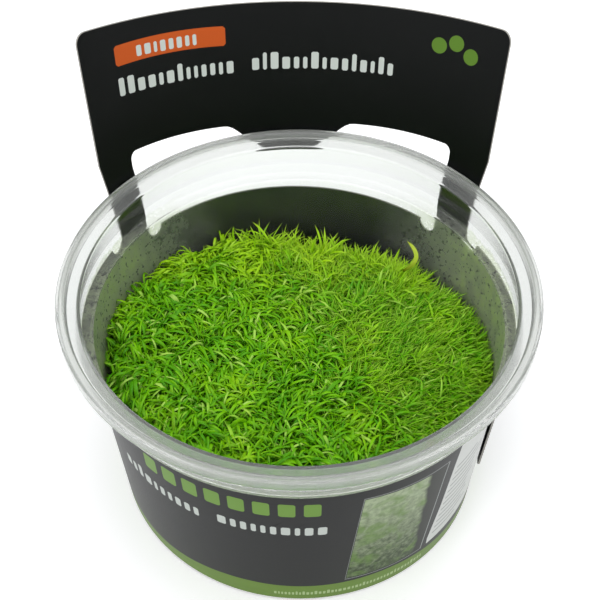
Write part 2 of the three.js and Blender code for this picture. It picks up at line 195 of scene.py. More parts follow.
def add(tree, kind, sockets=None, **settings):
    """Adds a node, with its settings, and gives its sockets their values or links."""
    node = tree.nodes.new("ShaderNode" + kind)
    for name, value in settings.items():
        setattr(node, name, value)
    for name, value in (sockets or {}).items():
        if isinstance(value, bpy.types.NodeSocket):
            tree.links.new(value, node.inputs[name])
        else:
            node.inputs[name].default_value = value
    return node


# Polypropylene takes a soft gloss, which blurs what lies further behind it, and its thick rim is a little
# milky. The fog is water in drops too fine to see, in patches of 4 to 5 mm with a ragged edge: it scatters
# light, so that the wall turns pale, but for the specks where drops have run together. It is drawn thinner
# below the plants' tips and at the back, so that the wall shows dark there: painted shade. Its green tint,
# and the thinner fog that it leaves on the shoulder, are painted green light thrown up by the plants.
clear_pp, tree, shader = new_material("clear polypropylene")
shader.inputs["IOR"].default_value = 1.49
where = add(tree, "TexCoord").outputs["Object"]
inside = add(tree, "Attribute", attribute_name="inside").outputs["Fac"]
_, back, up = add(tree, "SeparateXYZ", {0: where}).outputs
patches = add(
    tree,
    "TexNoise",
    {"Vector": where, "Scale": FOG_PATCHES_PER_M, "Detail": 5, "Roughness": 0.7},
).outputs[0]
ragged = add(
    tree,
    "Math",
    {0: patches, 1: FOG_RAGGED * MM, 2: -FOG_RAGGED / 2 * MM},
    operation="MULTIPLY_ADD",
).outputs[0]
edge = add(tree, "Math", {0: up, 1: ragged}, operation="ADD").outputs[0]
fog_top = add(
    tree,
    "MapRange",
    {"Value": edge, "From Min": FOG_TOP * MM, "From Max": FOG_FULL * MM},
).outputs[0]
# Below the plants' tips the fog is thinned, so that the wall shows dark there: painted shade.
thinned_for_plant_shade = add(
    tree,
    "MapRange",
    {"Value": edge, "From Min": PLANT_SHADE_FOG_BOTTOM * MM, "From Max": PLANT_SHADE_FOG_TOP * MM, "To Min": 0.5},
).outputs[0]
fog_height = add(tree, "Math", {0: fog_top, 1: thinned_for_plant_shade}, operation="MULTIPLY").outputs[0]
fog = add(tree, "Math", {0: fog_height, 1: inside}, operation="MULTIPLY").outputs[0]
patchy = add(
    tree,
    "MapRange",
    {"Value": patches, "From Min": 0.3, "From Max": 0.62, "To Min": 0.5},
).outputs[0]
drops = add(
    tree,
    "TexNoise",
    {"Vector": where, "Scale": FOG_DROPS_PER_M, "Detail": 2, "Roughness": 0.6},
).outputs[0]
specks = add(
    tree,
    "MapRange",
    {"Value": drops, "From Min": 0.33, "From Max": 0.44, "To Min": 0.25},
).outputs[0]
fog_here = add(tree, "Math", {0: patchy, 1: specks}, operation="MULTIPLY").outputs[0]
misted = add(tree, "Math", {0: fog_here, 1: fog}, operation="MULTIPLY").outputs[0]
# Towards the back the fog is thinned, so that the wall shows dark there: painted shade. The same share sets
# the gloss of the mist.
back_shade_and_gloss = add(
    tree,
    "MapRange",
    {"Value": back, "From Min": BACK_SHADE_FOG_END * MM, "From Max": BACK_SHADE_FOG_START * MM, "To Min": 0.06},
).outputs[0]
shoulder_top = SHOULDER_GLOW_FOG_TOP * MM
shoulder_bottom = SHOULDER_GLOW_FOG_BOTTOM * MM
# On the shoulder a thinner fog stays on, as painted green light from the plants.
shoulder_fog_and_glow = add(
    tree,
    "MapRange",
    {"Value": up, "From Min": shoulder_bottom, "From Max": shoulder_top, "To Min": 1, "To Max": 0.65},
).outputs[0]
fog_round = add(tree, "Math", {0: shoulder_fog_and_glow, 1: back_shade_and_gloss}, operation="MULTIPLY").outputs[0]
fogged = add(tree, "Math", {0: misted, 1: fog_round}, operation="MULTIPLY").outputs[0]
rim_haze = add(
    tree,
    "MapRange",
    {"Value": up, "From Min": RIM_HAZE_BOTTOM * MM, "From Max": RIM_HAZE_TOP * MM},
).outputs[0]
unfogged = add(tree, "MapRange", {"Value": rim_haze, "To Min": 0.99, "To Max": 0.8}).outputs[0]
gloss = add(tree, "MapRange", {"Value": rim_haze, "To Min": 0.12, "To Max": 0.2}).outputs[0]
clear_share = add(tree, "MapRange", {"Value": fogged, "To Min": unfogged, "To Max": 0.42}).outputs[0]
mist_gloss = add(tree, "MapRange", {"Value": back_shade_and_gloss, "To Min": 0.2, "To Max": 0.5}).outputs[0]
on_wall = add(
    tree,
    "MapRange",
    {"Value": up, "From Min": shoulder_top, "From Max": shoulder_bottom},
).outputs[0]
mist = add(tree, "Math", {0: misted, 1: on_wall}, operation="MULTIPLY").outputs[0]
wall_roughness = add(tree, "MapRange", {"Value": mist, "To Min": gloss, "To Max": mist_gloss}).outputs[0]
plastic = add(tree, "MixRGB", {0: rim_haze, 1: linear("#eceeec"), 2: linear("#e0e2de")}).outputs[0]
# The fog's green tint is painted green light thrown up by the plants.
wall_colour_with_green_glow = add(tree, "MixRGB", {0: fogged, 1: plastic, 2: linear("#c6da98")}).outputs[0]
tree.links.new(wall_colour_with_green_glow, shader.inputs["Base Color"])
tree.links.new(clear_share, shader.inputs["Transmission Weight"])
tree.links.new(wall_roughness, shader.inputs["Roughness"])

# Each corner is (radius, height, fillet). The points beside the shoulder's corners keep its flat shaded flat.
cup_profile = rounded([
    (0, 0, 0),
    (outer_wall_r(0), 0, HEEL_FILLET),
    (outer_wall_r(SHOULDER_BOTTOM), SHOULDER_BOTTOM, 0.4),
    (outer_wall_r(SHOULDER_BOTTOM) + 0.6, SHOULDER_BOTTOM, 0),
    (NECK_FOOT_R - NECK_FLARE - 1, SHOULDER_BOTTOM, 0),
    (NECK_FOOT_R - NECK_FLARE, SHOULDER_BOTTOM, 0.8),
    (NECK_FOOT_R, NECK_FOOT, 0.8),
    (MOUTH_R + CUP_WALL, LEDGE_TOP - CUP_WALL, 0.3),
    (BEAD_INNER_R + 0.3, LEDGE_TOP - CUP_WALL, 0.3),
    (BEAD_INNER_R + BEAD_SLOPE, RIM_TOP - CUP_WALL, 0.3),
    (RIM_R - CUP_WALL, RIM_TOP - CUP_WALL, 0.3),
    (RIM_R - CUP_WALL, SKIRT_BOTTOM, 0.2),
    (RIM_R, SKIRT_BOTTOM, 0.2),
    (RIM_R, RIM_TOP, 0.6),
    (BEAD_INNER_R + BEAD_SLOPE, RIM_TOP, 0.5),
    (BEAD_INNER_R, LEDGE_TOP, 0.4),
    (MOUTH_R, LEDGE_TOP, 0.4),
    (NECK_FOOT_R - CUP_WALL, NECK_FOOT, 0.8),
    (NECK_FOOT_R - CUP_WALL - NECK_FLARE, SHOULDER_TOP, 0.5),
    (NECK_FOOT_R - CUP_WALL - NECK_FLARE - 0.6, SHOULDER_TOP, 0),
    (inner_wall_r(SHOULDER_TOP) + 0.5, SHOULDER_TOP, 0),
    (inner_wall_r(SHOULDER_TOP), SHOULDER_TOP, 0.4),
    (inner_wall_r(CUP_FLOOR), CUP_FLOOR, HEEL_FILLET - 0.4),
    (0, CUP_FLOOR, 0),
])
bm = turned(cup_profile, CUP_STEPS)
inside_layer = bm.verts.layers.float.new("inside")
for vert in bm.verts:
    x, y, z = vert.co / MM
    wall_outer_r = outer_wall_r(z) if z < SHOULDER_BOTTOM + CUP_WALL / 2 else NECK_FOOT_R
    is_inside = math.hypot(x, y) < wall_outer_r - CUP_WALL / 2 and z < RIM_HAZE_BOTTOM
    vert[inside_layer] = float(is_inside)
cup = new_piece("clear_cup", bm, clear_pp)
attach(cup, "root")
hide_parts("cup")

# Gel
# Agar culture gel, poured hot into the cup, where it set as a flat disc with a raised edge at the wall.
# The plants feed and root in it, so its top is threaded with their pale stolons.
GEL_BOTTOM = 1.2
GEL_TOP = 14.2
GEL_GAP = 0.3
GEL_EDGE_WIDTH = 1.6
GEL_EDGE_RISE = 0.5
GEL_STEPS = 96

# Set agar is cloudy: light goes into it and is scattered, so it looks pale and wet. Its clouds are faint and
# about 11 mm across.
agar, tree, shader = new_material("agar gel")
where = add(tree, "TexCoord").outputs["Object"]
cloud = add(tree, "TexNoise", {"Vector": where, "Scale": 90, "Detail": 4}).outputs[0]
gel_colours = add(tree, "MixRGB", {0: cloud, 1: linear("#d9d6bd"), 2: linear("#efece0")}).outputs[0]
tree.links.new(gel_colours, shader.inputs["Base Color"])
shader.inputs["Transmission Weight"].default_value = 0.55
shader.inputs["Roughness"].default_value = 0.25
shader.inputs["IOR"].default_value = 1.34

gel_profile = rounded([
    (0, GEL_BOTTOM, 0),
    (inner_wall_r(GEL_BOTTOM) - GEL_GAP, GEL_BOTTOM, 1.8),
    (inner_wall_r(GEL_TOP) - GEL_GAP, GEL_TOP, 0.2),
    (inner_wall_r(GEL_TOP) - GEL_EDGE_WIDTH, GEL_TOP - GEL_EDGE_RISE, 0.5),
    (0, GEL_TOP - GEL_EDGE_RISE, 0),
])
gel = new_piece("agar_gel", turned(gel_profile, GEL_STEPS), agar)
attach(gel, "root")
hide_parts("culture_gel")

# Plant mat
# Runners, roots and old blades, grown into one springy cushion that fills the cup from the gel to the
# green blades. Only the dark gaps between the blades show it, and its side where it has drawn back.
MAT_BOTTOM = 14.5
MAT_SIDE = (MAT_BOTTOM, 18, 22)
MAT_DISC = 30
MAT_ROWS = 24
MAT_STEPS = 96
MAT_INSET = 1.2
MAT_EDGE_DROP = 4
MAT_BUMP = 0.9
CUSHION_TOP = 34.4
CUSHION_LUMP = 0.7
CUSHION_BACK_SLOPE = 0.045
MAT_SUNK = 3.0
TIP_CLEARANCE = 0.5
WALL_GAP = 7
WALL_GAP_BEARING = 0.35
WALL_GAP_SPREAD = 0.75


def smooth(low, high, value):
    """0 up to low, 1 from high on, and an even rise between them."""
    share = min(1, max(0, (value - low) / (high - low)))
    return share * share * (3 - 2 * share)


def mix(a, b, share):
    """The value that is a share of the way from a to b."""
    return a + (b - a) * share


def tip_reach(bearing):
    """How far the blade tips reach from the axis, by the bearing from +Y, clockwise from above."""
    gap = WALL_GAP * math.exp(-(((bearing - WALL_GAP_BEARING) / WALL_GAP_SPREAD) ** 2))
    return inner_wall_r(CUSHION_TOP) - TIP_CLEARANCE - gap


def cushion_top(x, y):
    """The cushion's height, with its low lumps and its fall to the back and the right."""
    lump = math.sin(0.31 * x + 1.2) * math.cos(0.27 * y) + 0.6 * math.sin(0.52 * y - 0.4 * x)
    return CUSHION_TOP + CUSHION_LUMP * lump - CUSHION_BACK_SLOPE * (y + 0.6 * x)


# Living runners and old blades, felted together. Threads of about 1 mm show only as a mottled, dull green.
mat_green, tree, shader = new_material("matted runners")
where = add(tree, "TexCoord").outputs["Object"]
tangle = add(tree, "TexNoise", {"Vector": where, "Scale": 900, "Detail": 5, "Distortion": 1.5}).outputs[0]
mat_colours = add(tree, "MixRGB", {0: tangle, 1: linear("#2a5a04"), 2: linear("#5a9a10")}).outputs[0]
tree.links.new(mat_colours, shader.inputs["Base Color"])
mat_bump = add(tree, "Bump", {"Height": tangle, "Strength": 0.8, "Distance": 0.4 * MM}).outputs[0]
tree.links.new(mat_bump, shader.inputs["Normal"])
shader.inputs["Roughness"].default_value = 0.7

# The top is spun as a flat disc of 1 mm, where a point's radius is its share of the way to the edge. Each
# of its points is then moved to its place on the cushion.
mat_profile = [Vector((0, 0, MAT_BOTTOM))]
mat_profile += [Vector((inner_wall_r(z) - TIP_CLEARANCE, 0, z)) for z in MAT_SIDE]
mat_profile += [Vector((i / MAT_ROWS, 0, MAT_DISC)) for i in range(MAT_ROWS, -1, -1)]
bm = turned(mat_profile, MAT_STEPS)
for vert in bm.verts:
    x, y, z = vert.co / MM
    if z > MAT_DISC - 1:
        share = math.hypot(x, y)
        bearing = math.atan2(x, y)
        r = share * (tip_reach(bearing) - MAT_INSET)
        x = r * math.sin(bearing)
        y = r * math.cos(bearing)
        bump = MAT_BUMP * noise.noise(Vector((x, y, 0)) * 0.45)
        z = cushion_top(x, y) - MAT_SUNK - MAT_EDGE_DROP * smooth(0.9, 1, share) + bump
        vert.co = Vector((x, y, z)) * MM
bmesh.ops.recalc_face_normals(bm, faces=bm.faces)
mat = new_piece("plant_mat", bm, mat_green)
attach(mat, "root")
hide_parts("plant_carpet")

# Blades
# Thousands of flat, narrow leaves, up to 1 mm wide, that grow up from the runners. On the left they are long
# and arch over, on the right short and fanned out to the wall, and upright between, with low ones under all.
BLADE_THICKNESS = 0.14
BLADE_FOOT_WIDTH = 0.6
BLADE_TIP_WIDTH = 0.08
BLADE_WIDEST_FROM = 0.35
BLADE_WALL_GAP = 0.12
BLADE_SWERVE = 40
BLADE_ROLL = 45
BLADE_TWIST = 60
BROAD_BLADES = 0.06
BROAD_FACTOR = 1.5
ROOT_INSET = 0.8
EDGE_TOP_DROP = 2.5
FLOW_SCALE = 0.06
YELLOW_SCALE = 0.12
YELLOW_PATCHES = 0.6
YELLOW_AT_BACK = 0.65
YELLOW_BACK_START = 12
YELLOW_BACK_END = 34
WITHERED_PLACE = (24, -27)
WITHERED_R = 1.6
WITHERED_SHARE = 0.6
WITHERED_LIFE = 0.2

# A blade is waxy and thin. It is paler at its tip, a painted highlight, and darker at its foot, painted
# shade down among the blades. Patches of blades are yellower, a few blades have withered, and a few others
# are painted much paler than the rest as highlights.
blade_green, tree, shader = new_material("fresh leaf blade")
tone = add(tree, "Attribute", attribute_name="tone")
of_blade, along, yellow = add(tree, "SeparateColor", {0: tone.outputs["Color"]}).outputs
plain = add(tree, "MixRGB", {0: of_blade, 1: linear("#4a9804"), 2: linear("#82c80a")}).outputs[0]
# A few blades, picked at random by their own shade, are painted much paler as highlights.
pale_highlight_share = add(
    tree,
    "MapRange",
    {"Value": of_blade, "From Min": 0.88, "From Max": 0.96, "To Max": 0.7},
).outputs[0]
with_pale_highlights = add(tree, "MixRGB", {0: pale_highlight_share, 1: plain, 2: linear("#b8dc6a")}).outputs[0]
yellowed = add(tree, "MixRGB", {0: yellow, 1: with_pale_highlights, 2: linear("#b2e01c")}).outputs[0]
# Towards its foot a blade is darker, painted shade down among the blades.
foot = add(tree, "MapRange", {"Value": along, "From Max": 0.4}).outputs[0]
with_foot_shade = add(tree, "MixRGB", {0: foot, 1: linear("#438604"), 2: yellowed}).outputs[0]
# Towards its tip a blade is paler, a painted highlight.
tip = add(tree, "MapRange", {"Value": along, "From Min": 0.65, "From Max": 1.0, "To Max": 0.4}).outputs[0]
with_tip_highlight = add(tree, "MixRGB", {0: tip, 1: with_foot_shade, 2: linear("#bcd850")}).outputs[0]
withered = add(tree, "MixRGB", {0: tone.outputs["Alpha"], 1: linear("#b8741a"), 2: with_tip_highlight}).outputs[0]
tree.links.new(withered, shader.inputs["Base Color"])
shader.inputs["Roughness"].default_value = 0.4
shader.inputs["Specular IOR Level"].default_value = 0.16


def blade_line(draw, style, heading):
    """Points on one blade's middle line from its root, and the directions across and through it."""
    steps = style["steps"]
    t = np.linspace(0, 1, steps + 1)
    length = draw.uniform(*style["length"])
    tilts = math.radians(draw.uniform(*style["tilt"])) + math.radians(draw.uniform(*style["bend"])) * t ** 1.2
    headings = heading + math.radians(draw.uniform(-BLADE_SWERVE, BLADE_SWERVE)) * t
    level = np.stack([np.cos(headings), np.sin(headings), np.zeros(steps + 1)], axis=1)
    upward = np.array([0, 0, 1])
    ahead = level * np.sin(tilts)[:, None] + upward * np.cos(tilts)[:, None]
    line = np.zeros((steps + 1, 3))
    line[1:] = np.cumsum((ahead[1:] + ahead[:-1]) / 2 * length / steps, axis=0)
    side = np.stack([-np.sin(headings), np.cos(headings), np.zeros(steps + 1)], axis=1)
    face = np.cross(side, ahead)
    roll = math.radians(draw.uniform(-BLADE_ROLL, BLADE_ROLL))
    twist = math.radians(draw.uniform(-BLADE_TWIST, BLADE_TWIST))
    rolls = (roll + twist * t)[:, None]
    across = side * np.cos(rolls) + face * np.sin(rolls)
    through = face * np.cos(rolls) - side * np.sin(rolls)
    return line, across, through


def blade_piece(name, blades):
    """One joined mesh of blades, flat behind with a low rib in front.

    Each blade is its line, its width and its tone: its own shade, how yellow it is and how alive.
    """
    rings = len(blades[0][0][0])
    t = np.linspace(0, 1, rings)
    widening = BLADE_FOOT_WIDTH + (1 - BLADE_FOOT_WIDTH) * np.minimum(1, t / BLADE_WIDEST_FROM)
    widths = widening * np.sqrt(np.maximum(0, 1 - t ** 5))
    widths[-1] = BLADE_TIP_WIDTH
    points = []
    for (line, across, through), width, _ in blades:
        half_width = across * (width / 2 * widths)[:, None]
        rib = through * (BLADE_THICKNESS * np.sqrt(widths))[:, None]
        points.append(np.stack([line - half_width, line + half_width, line - rib], axis=1))
    flat = np.array(points).reshape(-1, 3)
    reach = np.hypot(flat[:, 0], flat[:, 1])
    limit = inner_wall_r(flat[:, 2]) - BLADE_WALL_GAP
    flat[:, :2] *= np.minimum(1, limit / np.maximum(reach, 1e-9))[:, None]
    quads = [
        (i + j, i + (j + 1) % 3, i + 3 + (j + 1) % 3, i + 3 + j)
        for i in range(0, 3 * (rings - 1), 3)
        for j in range(3)
    ]
    faces = []
    for start in range(0, len(flat), 3 * rings):
        end = start + 3 * rings
        faces += [[start + corner for corner in quad] for quad in quads]
        faces += [[start + 2, start + 1, start], [end - 3, end - 2, end - 1]]
    mesh = bpy.data.meshes.new(name)
    mesh.from_pydata((flat * MM).tolist(), [], faces)
    own_tones = np.array([tone for _, _, tone in blades])
    tones = np.ones((len(blades), rings, 3, 4), np.float32)
    tones[:, :, :, (0, 2, 3)] = own_tones[:, None, None, :]
    tones[:, :, :, 1] = t[None, :, None]
    mesh.attributes.new("tone", "FLOAT_COLOR", "POINT").data.foreach_set("color", tones.ravel())
    mesh.shade_smooth()
    ends = np.zeros(len(mesh.edges) * 2, np.int64)
    mesh.edges.foreach_get("vertices", ends)
    ends = np.sort(ends.reshape(-1, 2), axis=1)
    is_side = (ends[:, 1] - ends[:, 0] == 3) & (ends[:, 0] % 3 < 2)
    mesh.attributes.new("sharp_edge", "BOOLEAN", "EDGE").data.foreach_set("value", is_side)
    mesh.materials.append(blade_green)
    piece = bpy.data.objects.new(name, mesh)
    bpy.context.scene.collection.objects.link(piece)
    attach(piece, "root")
    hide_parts("plant_carpet")


def blade_field(name, style, count, seed, wanted):
    """Blades scattered over the cushion, where wanted(x, y) says how likely one is at a place."""
    draw = random.Random(seed)
    blades = []
    while len(blades) < count:
        bearing = draw.uniform(-math.pi, math.pi)
        share = math.sqrt(draw.random())
        r = share * (tip_reach(bearing) - ROOT_INSET)
        x = r * math.sin(bearing)
        y = r * math.cos(bearing)
        if draw.random() > wanted(x, y):
            continue
        flow = style["flow"] * noise.noise(Vector((FLOW_SCALE * x, FLOW_SCALE * y, style["length"][0])))
        spread = math.radians(style["spread"])
        outward = math.pi / 2 - bearing if style["outward"] else 0
        line, across, through = blade_line(draw, style, outward + flow + draw.uniform(-spread, spread))
        apex = cushion_top(x, y) + draw.uniform(*style["top"]) - EDGE_TOP_DROP * smooth(0.93, 1, share)
        line += np.array([x, y, apex - line[:, 2].max()])
        width = draw.uniform(*style["width"]) * (BROAD_FACTOR if draw.random() < BROAD_BLADES else 1)
        yellow_patch = noise.noise(Vector((YELLOW_SCALE * x, YELLOW_SCALE * y, 9)))
        yellow = style["yellow"] + YELLOW_PATCHES * yellow_patch
        yellow += YELLOW_AT_BACK * smooth(YELLOW_BACK_START, YELLOW_BACK_END, y)
        away = math.hypot(x - WITHERED_PLACE[0], y - WITHERED_PLACE[1])
        alive = WITHERED_LIFE if away < WITHERED_R and draw.random() < WITHERED_SHARE else 1
        tone = (draw.random(), max(0, min(1, yellow)), alive)
        blades.append(((line, across, through), width, tone))
    blade_piece(name, blades)


def on_left(x, y):
    """1 where the long arching blades grow, fading out towards the middle and the back."""
    return smooth(14, -10, x + 0.5 * y)


def on_right(x, y):
    """1 where the short fanned blades grow, fading out towards the middle."""
    return smooth(6, 20, x - 0.15 * y)


def between(x, y):
    """Where the upright blades grow, with a few of them everywhere."""
    return (1 - on_left(x, y)) * (1 - on_right(x, y)) + 0.15


# Lengths, widths and heights are in millimetres, tilt, bend and spread in degrees. Tilt is a blade's lean at
# its root, bend how far it arches over from there, and top the height of its highest point on the cushion.
# Flow is how far neighbours turn together, spread how far each turns by itself, and outward ones turn to the
# wall. Yellow is added to the patches' own yellow.
ARCHING = {
    "steps": 7,
    "length": (6, 10.5),
    "tilt": (0, 40),
    "bend": (140, 300),
    "width": (0.3, 0.68),
    "top": (1.4, 5.0),
    "outward": False,
    "flow": 4.0,
    "spread": 100,
    "yellow": 0.0,
}
UPRIGHT = {
    "steps": 4,
    "length": (6, 10),
    "tilt": (0, 30),
    "bend": (0, 90),
    "width": (0.26, 0.58),
    "top": (1.0, 4.6),
    "outward": False,
    "flow": 4.0,
    "spread": 150,
    "yellow": 0.02,
}
FANNED = {
    "steps": 4,
    "length": (4.5, 8),
    "tilt": (10, 45),
    "bend": (0, 45),
    "width": (0.24, 0.5),
    "top": (1.0, 4.2),
    "outward": True,
    "flow": 0.8,
    "spread": 45,
    "yellow": 0.06,
}
LOW = {
    "steps": 4,
    "length": (5, 9),
    "tilt": (10, 60),
    "bend": (20, 150),
    "width": (0.3, 0.62),
    "top": (-0.8, 2.4),
    "outward": False,
    "flow": 3.0,
    "spread": 180,
    "yellow": 0.0,
}
blade_field("blades_arching", ARCHING, 4300, 11, on_left)
blade_field("blades_looped", ARCHING, 4300, 15, on_left)
blade_field("blades_upright", UPRIGHT, 7400, 12, between)
blade_field("blades_fanned", FANNED, 7400, 13, on_right)
blade_field("blades_low", LOW, 7000, 14, lambda x, y: 1)

# Four longer blades that stand out of the rest at the back, a yellowed one that has curled over and a thin
# one against the wall. Each has its root, the place that it bends towards, its tip, its width and its tone.
STRAY_STEPS = 8
STRAY_ROLL = math.radians(65)
STRAY_BLADES = [
    ((-14, 32.5, 33), (-16.5, 33.5, 38), (-15.5, 34, 41.5), 0.5, (0.7, 0.5, 1)),
    ((-9, 29.5, 33), (-11.5, 30.5, 38), (-10, 31.5, 41.5), 0.5, (0.7, 0.4, 1)),
    ((-4, 24, 33), (-6.5, 24, 39), (-6, 25.5, 42), 0.55, (0.7, 0.7, 1)),
    ((2, 29.5, 33), (3, 31, 38), (4.2, 31.5, 41), 0.5, (0.7, 0.5, 1)),
    ((24.2, 23.5, 37), (29.6, 23, 41.3), (25.2, 28, 42.3), 1.05, (0.96, 0.6, 0.75)),
    ((-38.5, -9, 31), (-43, -6, 38.5), (-38, -12, 37), 0.35, (0.7, 1, 1)),
]
strays = []
for root, middle, tip, width, tone in STRAY_BLADES:
    t = np.linspace(0, 1, STRAY_STEPS + 1)[:, None]
    root, middle, tip = np.array(root), np.array(middle), np.array(tip)
    line = (1 - t) ** 2 * root + 2 * t * (1 - t) * middle + t ** 2 * tip
    ahead = np.gradient(line, axis=0)
    ahead /= np.linalg.norm(ahead, axis=1)[:, None]
    off_plane = np.cross(middle - root, tip - middle)
    off_plane /= np.linalg.norm(off_plane)
    across = math.cos(STRAY_ROLL) * off_plane + math.sin(STRAY_ROLL) * np.cross(off_plane, ahead)
    strays.append(((line, across, np.cross(across, ahead)), width, tone))
blade_piece("stray_blades", strays)

# Card sleeve and header
# One blank of 0.4 mm coated card, offset printed on both sides, die cut and wrapped round the cup. Its ends
# overlap on the right, and the header stands up on two legs that bend out past the rim.
CARD_THICKNESS = 0.4
CARD_GAP = 0.3
SLEEVE_BOTTOM = 0.9
SLEEVE_TOP = 44.9
SIDE_TOP = 46.3
SIDE_FULL = 70
SIDE_END = 110
SLANT_FOOT = 36
LEG_FOOT = 41
LEG_CLEAR = 54.5
HEADER_R_AT_RIM = RIM_R + 0.35
HEADER_LEAN = 0.22
HEADER_FAN = 0.0011
HEADER_TILT = 0.015
HEADER_HALF_WIDTH = 50
HEADER_TOP = 87.8
HEADER_TOP_RISE = 5.4
HEADER_CORNER_R = 2.6
WINDOW_SIDE_TOP = 59
WINDOW_TOP = 59.8
WINDOW_SLOPE = 0.1
WINDOW_HALF_WIDTH = 39.9
WINDOW_SHIFT = -0.7
WINDOW_CORNER_R = 1.6
TONGUE_END = 51.9
TONGUE_HALF_WIDTH = 4.8
TONGUE_ROOT_HALF_WIDTH = 15.5
TONGUE_STEPS = 10
LEG_INNER = 37.7
LEG_OUTER = 46.6
LEG_EDGE_TOP = 64
NOTCH_R = 2.25
SIDE_NOTCH_BOTTOM = 45
SEAM_UNDER = 69.5
SEAM_TAB_START = 71
SEAM_TAB_END = 83.6
SEAM_TAB_BOTTOM = 8.3
SEAM_TAB_CORNER_R = 3
BAND_TOP = 6.8
BAND_SIDE_TOP = 4.2
BAND_MIDDLE = -139.5
BAND_FALL_START = 14
BAND_FALL_END = 42
BAND_FALL_STEPS = 5
SEAM_AIR = 0.1
SEAM_FREE_LIFT = 0.9
SEAM_LIFT_WIDTH = 6
HEADER_MARGIN = 3
CARD_TURN = math.radians(2.3)
FILL_TURN = 0.9
CARD_SKEW = 0.012
SLEEVE_TOP_SLANT = 0.012


def card_inner_r(z):
    """The sleeve's inner radius at a height."""
    return WALL_R_AT_BASE + CARD_GAP + WALL_TAPER * z


leg_foot_r = card_inner_r(LEG_FOOT)
half_round = math.pi * leg_foot_r
header_reach = HEADER_HALF_WIDTH + HEADER_MARGIN
tongue_bend_start = SLEEVE_TOP + 0.8
tongue_bend_end = TONGUE_END - 0.6


def distance_round(s):
    """The shorter way round from the header's middle to a distance s."""
    return abs((s + half_round) % (2 * half_round) - half_round)


def beside_legs(distance):
    """1 beside the legs, where the sleeve reaches up under the cup's neck, and 0 in front."""
    return 1 - smooth(SIDE_FULL, SIDE_END, distance)


def side_top(s):
    """The sleeve's top edge, which is higher beside the legs than in front."""
    return mix(SLEEVE_TOP, SIDE_TOP, beside_legs(distance_round(s)))


def card_point(s, z, outward):
    """Where the card is at a distance s round it and a height z, and by how much outwards."""
    above_rim = max(0, z - RIM_TOP)
    bend = smooth(LEG_FOOT, LEG_CLEAR, z)
    header_r = mix(leg_foot_r, HEADER_R_AT_RIM, bend) + HEADER_LEAN * above_rim
    distance = distance_round(s)
    on_leg = smooth(LEG_INNER - NOTCH_R, LEG_INNER, distance) * beside_legs(distance)
    on_header = 0 if z <= LEG_FOOT else max(on_leg, smooth(tongue_bend_start, tongue_bend_end, z))
    r = mix(card_inner_r(z), header_r, on_header) + outward
    if s > SEAM_UNDER - SEAM_LIFT_WIDTH:
        r += seam_lift(s, z)
    tilted = s + HEADER_TILT * max(0, z - LEG_FOOT)
    wrapped = (tilted + half_round) % (2 * half_round) - half_round
    reach = min(abs(wrapped), header_reach)
    rest = max(0, abs(wrapped) - header_reach) / (half_round - header_reach)
    arc_r = mix(leg_foot_r, header_r, on_header) / (1 + HEADER_FAN * above_rim)
    angle = math.copysign(mix(reach / arc_r, math.pi, rest), wrapped)
    x = r * math.sin(angle)
    y = r * math.cos(angle)
    slant = SLEEVE_TOP_SLANT * smooth(SLANT_FOOT, LEG_FOOT, z) * (1 - bend)
    place = Vector((x, y, z - (CARD_SKEW + slant) * x))
    place.xy = (
        place.x * math.cos(CARD_TURN) - place.y * math.sin(CARD_TURN),
        place.x * math.sin(CARD_TURN) + place.y * math.cos(CARD_TURN),
    )
    return place


def seam_lift(s, z):
    """How far the outer end of the sleeve stands off, over the end that runs on under it."""
    over_edge = (CARD_THICKNESS + SEAM_AIR) * smooth(SEAM_UNDER - SEAM_LIFT_WIDTH, SEAM_UNDER - 0.5, s)
    free = max(0, s - SEAM_UNDER) / (SEAM_TAB_END - SEAM_UNDER)
    return over_edge + SEAM_FREE_LIFT * free ** 2 * mix(0.4, 1, z / SLEEVE_TOP)


def arc(centre_s, centre_z, r, start_deg, end_deg, steps=8):
    """Points along an arc in the flat card."""
    angles = [math.radians(mix(start_deg, end_deg, i / steps)) for i in range(steps + 1)]
    return [(centre_s + r * math.cos(a), centre_z + r * math.sin(a)) for a in angles]


def header_edge(s):
    """The header's top edge, which rises to both corners."""
    return HEADER_TOP + HEADER_TOP_RISE * (s / HEADER_HALF_WIDTH) ** 2


def mirrored(points):
    """The same points on the left of the middle, in the order that goes on round the outline."""
    return [(-s, z) for s, z in reversed(points)]


header_corner_s = HEADER_HALF_WIDTH - HEADER_CORNER_R
header_corner = [
    (s, header_edge(s) - HEADER_CORNER_R + z)
    for s, z in arc(header_corner_s, 0, HEADER_CORNER_R, 0, 90)
]
notch_lip = math.degrees(math.asin((SIDE_TOP - SIDE_NOTCH_BOTTOM - NOTCH_R) / NOTCH_R))
right_outline = (
    arc(LEG_OUTER + NOTCH_R, SIDE_NOTCH_BOTTOM + NOTCH_R, NOTCH_R, notch_lip, -180 - notch_lip, 12)
    + [(HEADER_HALF_WIDTH, LEG_EDGE_TOP)]
    + header_corner
)
top_edge = [(s, header_edge(s)) for s in range(44, -45, -4)]
seam_corner_s = SEAM_TAB_END - SEAM_TAB_CORNER_R
seam_corner = arc(seam_corner_s, SEAM_TAB_BOTTOM + SEAM_TAB_CORNER_R, SEAM_TAB_CORNER_R, -90, 0)
sheet_start = SEAM_UNDER - 2 * half_round
fall_shares = [i / BAND_FALL_STEPS for i in range(BAND_FALL_STEPS + 1)]
band_fall = [
    (mix(BAND_FALL_START, BAND_FALL_END, share), mix(BAND_TOP, BAND_SIDE_TOP, smooth(0, 1, share)))
    for share in fall_shares
]
band_edge = (
    [(SEAM_TAB_START, BAND_SIDE_TOP)]
    + [(BAND_MIDDLE + s, z) for s, z in reversed(band_fall)]
    + [(BAND_MIDDLE - s, z) for s, z in band_fall]
    + [(sheet_start, BAND_SIDE_TOP)]
)
